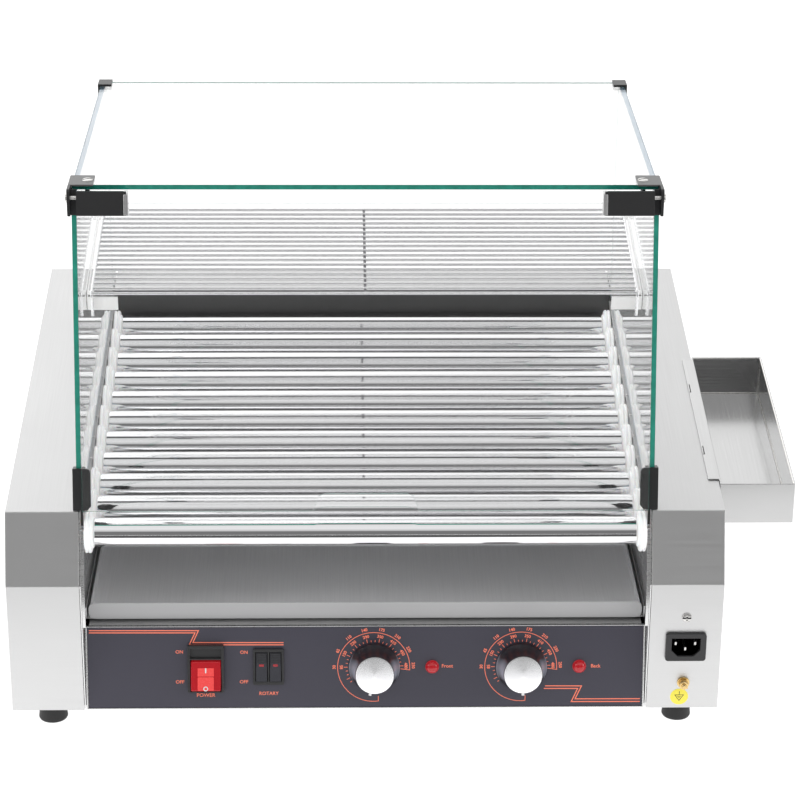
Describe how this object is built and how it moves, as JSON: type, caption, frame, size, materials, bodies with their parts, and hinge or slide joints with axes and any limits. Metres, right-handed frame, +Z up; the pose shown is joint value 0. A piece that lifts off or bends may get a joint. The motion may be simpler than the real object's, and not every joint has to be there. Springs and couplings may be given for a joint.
{
  "type": "hot dog roller grill",
  "caption": "Counter-top hot dog roller grill with chrome rollers, glass hood, wire bun shelf, sloping control panel, drip tray and side tray.",
  "frame": {"origin": "centre of the underside of the whole object, on the counter top", "axes": "+X to the right as seen from the controls, +Y to the back, +Z up"},
  "size_m": [0.6424, 0.4435, 0.4472],
  "materials": {
    "stainless": "brushed stainless sheet",
    "chrome": "polished chrome plate",
    "zinc": "zinc-plated sheet",
    "dark_steel": "dull dark metal",
    "fascia": "charcoal overlay",
    "black_plastic": "satin black moulding",
    "knob_plastic": "gloss black with a spun metal cap",
    "ptfe": "white PTFE",
    "glass": "clear float glass with green edges",
    "red_lens": "translucent red",
    "rubber": "black rubber",
    "brass": "plain brass"
  },
  "bodies": {
    "grill_body": {"left_side_housing": "stainless", "right_side_housing": "stainless", "left_inner_wall": "stainless", "right_inner_wall": "stainless", "rear_panel": "stainless", "front_panel": "stainless", "left_tray_rail": "stainless", "right_tray_rail": "stainless", "base_pan": "dark_steel", "gear_motor": "dark_steel", "drive_chain": "dark_steel", "control_fascia": "fascia", "power_inlet": "black_plastic", "front_thermostat": "black_plastic", "back_thermostat": "black_plastic", "power_switch_body": "black_plastic", "rotary_switch_body": "black_plastic", "left_bush_row": "ptfe", "right_bush_row": "ptfe", "front_heat_lamp": "red_lens", "back_heat_lamp": "red_lens", "foot_front_left": "rubber", "foot_front_right": "rubber", "foot_rear_left": "rubber", "foot_rear_right": "rubber", "earth_stud": "brass"},
    "roller_01_body": {"roller_01": "chrome"},
    "roller_02_body": {"roller_02": "chrome"},
    "roller_03_body": {"roller_03": "chrome"},
    "roller_04_body": {"roller_04": "chrome"},
    "roller_05_body": {"roller_05": "chrome"},
    "roller_06_body": {"roller_06": "chrome"},
    "roller_07_body": {"roller_07": "chrome"},
    "roller_08_body": {"roller_08": "chrome"},
    "roller_09_body": {"roller_09": "chrome"},
    "roller_10_body": {"roller_10": "chrome"},
    "roller_11_body": {"roller_11": "chrome"},
    "motor_sprocket_body": {"motor_sprocket": "dark_steel"},
    "power_key": {"power_rocker": "red_lens"},
    "rotary_key_left": {"rotary_rocker_left": "black_plastic"},
    "rotary_key_right": {"rotary_rocker_right": "black_plastic"},
    "front_knob": {"front_heat_knob": "knob_plastic"},
    "back_knob": {"back_heat_knob": "knob_plastic"},
    "drip_tray_body": {"drip_tray": "stainless"},
    "side_tray_body": {"side_tray": "stainless"},
    "hood": {"hood_top_glass": "glass", "left_hood_glass": "glass", "right_hood_glass": "glass", "left_corner_bracket": "black_plastic", "right_corner_bracket": "black_plastic", "left_rear_clip": "black_plastic", "right_rear_clip": "black_plastic", "left_lower_bracket": "black_plastic", "right_lower_bracket": "black_plastic", "left_shelf_bracket": "zinc", "right_shelf_bracket": "zinc"},
    "hood_door": {"door_glass": "glass", "left_hinge_clamp": "black_plastic", "right_hinge_clamp": "black_plastic"},
    "shelf": {"bun_shelf": "chrome"}
  },
  "joints": [
    {"name": "roller_01_spin", "type": "hinge", "parent": "grill_body", "child": "roller_01_body", "pos_m": [-0.03115, -0.1757, 0.1712], "axis": [1, 0, 0], "continuous": true},
    {"name": "roller_02_spin", "type": "hinge", "parent": "grill_body", "child": "roller_02_body", "pos_m": [-0.03115, -0.14303, 0.17585], "axis": [1, 0, 0], "continuous": true},
    {"name": "roller_03_spin", "type": "hinge", "parent": "grill_body", "child": "roller_03_body", "pos_m": [-0.03115, -0.11036, 0.1805], "axis": [1, 0, 0], "continuous": true},
    {"name": "roller_04_spin", "type": "hinge", "parent": "grill_body", "child": "roller_04_body", "pos_m": [-0.03115, -0.07769, 0.18515], "axis": [1, 0, 0], "continuous": true},
    {"name": "roller_05_spin", "type": "hinge", "parent": "grill_body", "child": "roller_05_body", "pos_m": [-0.03115, -0.04502, 0.1898], "axis": [1, 0, 0], "continuous": true},
    {"name": "roller_06_spin", "type": "hinge", "parent": "grill_body", "child": "roller_06_body", "pos_m": [-0.03115, -0.01235, 0.19445], "axis": [1, 0, 0], "continuous": true},
    {"name": "roller_07_spin", "type": "hinge", "parent": "grill_body", "child": "roller_07_body", "pos_m": [-0.03115, 0.02032, 0.1991], "axis": [1, 0, 0], "continuous": true},
    {"name": "roller_08_spin", "type": "hinge", "parent": "grill_body", "child": "roller_08_body", "pos_m": [-0.03115, 0.053, 0.20375], "axis": [1, 0, 0], "continuous": true},
    {"name": "roller_09_spin", "type": "hinge", "parent": "grill_body", "child": "roller_09_body", "pos_m": [-0.03115, 0.08567, 0.2084], "axis": [1, 0, 0], "continuous": true},
    {"name": "roller_10_spin", "type": "hinge", "parent": "grill_body", "child": "roller_10_body", "pos_m": [-0.03115, 0.11834, 0.21305], "axis": [1, 0, 0], "continuous": true},
    {"name": "roller_11_spin", "type": "hinge", "parent": "grill_body", "child": "roller_11_body", "pos_m": [-0.03115, 0.15101, 0.2177], "axis": [1, 0, 0], "continuous": true},
    {"name": "motor_sprocket_spin", "type": "hinge", "parent": "grill_body", "child": "motor_sprocket_body", "pos_m": [-0.27815, -0.0132, 0.075], "axis": [1, 0, 0], "continuous": true},
    {"name": "power_rocker_tilt", "type": "hinge", "parent": "grill_body", "child": "power_key", "pos_m": [-0.16215, -0.19595, 0.05173], "axis": [1, 0, 0], "range_deg": [0, 10]},
    {"name": "rotary_rocker_left_tilt", "type": "hinge", "parent": "grill_body", "child": "rotary_key_left", "pos_m": [-0.11665, -0.19477, 0.05813], "axis": [1, 0, 0], "range_deg": [0, 7]},
    {"name": "rotary_rocker_right_tilt", "type": "hinge", "parent": "grill_body", "child": "rotary_key_right", "pos_m": [-0.10525, -0.19477, 0.05813], "axis": [1, 0, 0], "range_deg": [0, 7]},
    {"name": "front_heat_knob_turn", "type": "hinge", "parent": "grill_body", "child": "front_knob", "pos_m": [-0.02415, -0.20573, 0.05934], "axis": [0, 0.9833, -0.1822], "range_deg": [0, 270]},
    {"name": "back_heat_knob_turn", "type": "hinge", "parent": "grill_body", "child": "back_knob", "pos_m": [0.09665, -0.20573, 0.05934], "axis": [0, 0.9833, -0.1822], "range_deg": [0, 270]},
    {"name": "drip_tray_slide", "type": "slide", "parent": "grill_body", "child": "drip_tray_body", "axis": [0, -1, 0], "range_m": [0, 0.28]},
    {"name": "side_tray_lift", "type": "slide", "parent": "grill_body", "child": "side_tray_body", "axis": [0, 0, 1], "range_m": [0, 0.06]},
    {"name": "hood_lift", "type": "slide", "parent": "grill_body", "child": "hood", "axis": [0, 0, 1], "range_m": [0, 0.12]},
    {"name": "door_swing", "type": "hinge", "parent": "hood", "child": "hood_door", "pos_m": [-0.03115, -0.1227, 0.438], "axis": [-1, 0, 0], "range_deg": [0, 95]},
    {"name": "shelf_lift", "type": "slide", "parent": "hood", "child": "shelf", "axis": [0, -0.1788, 0.9839], "range_m": [0, 0.04]}
  ],
  "couplings": [
    {"joint": "roller_02_spin", "follows": "roller_01_spin", "ratio": 1},
    {"joint": "roller_03_spin", "follows": "roller_01_spin", "ratio": 1},
    {"joint": "roller_04_spin", "follows": "roller_01_spin", "ratio": 1},
    {"joint": "roller_05_spin", "follows": "roller_01_spin", "ratio": 1},
    {"joint": "roller_06_spin", "follows": "roller_01_spin", "ratio": 1},
    {"joint": "roller_07_spin", "follows": "roller_01_spin", "ratio": 1},
    {"joint": "roller_08_spin", "follows": "roller_01_spin", "ratio": 1},
    {"joint": "roller_09_spin", "follows": "roller_01_spin", "ratio": 1},
    {"joint": "roller_10_spin", "follows": "roller_01_spin", "ratio": 1},
    {"joint": "roller_11_spin", "follows": "roller_01_spin", "ratio": 1},
    {"joint": "motor_sprocket_spin", "follows": "roller_01_spin", "ratio": 1}
  ]
}
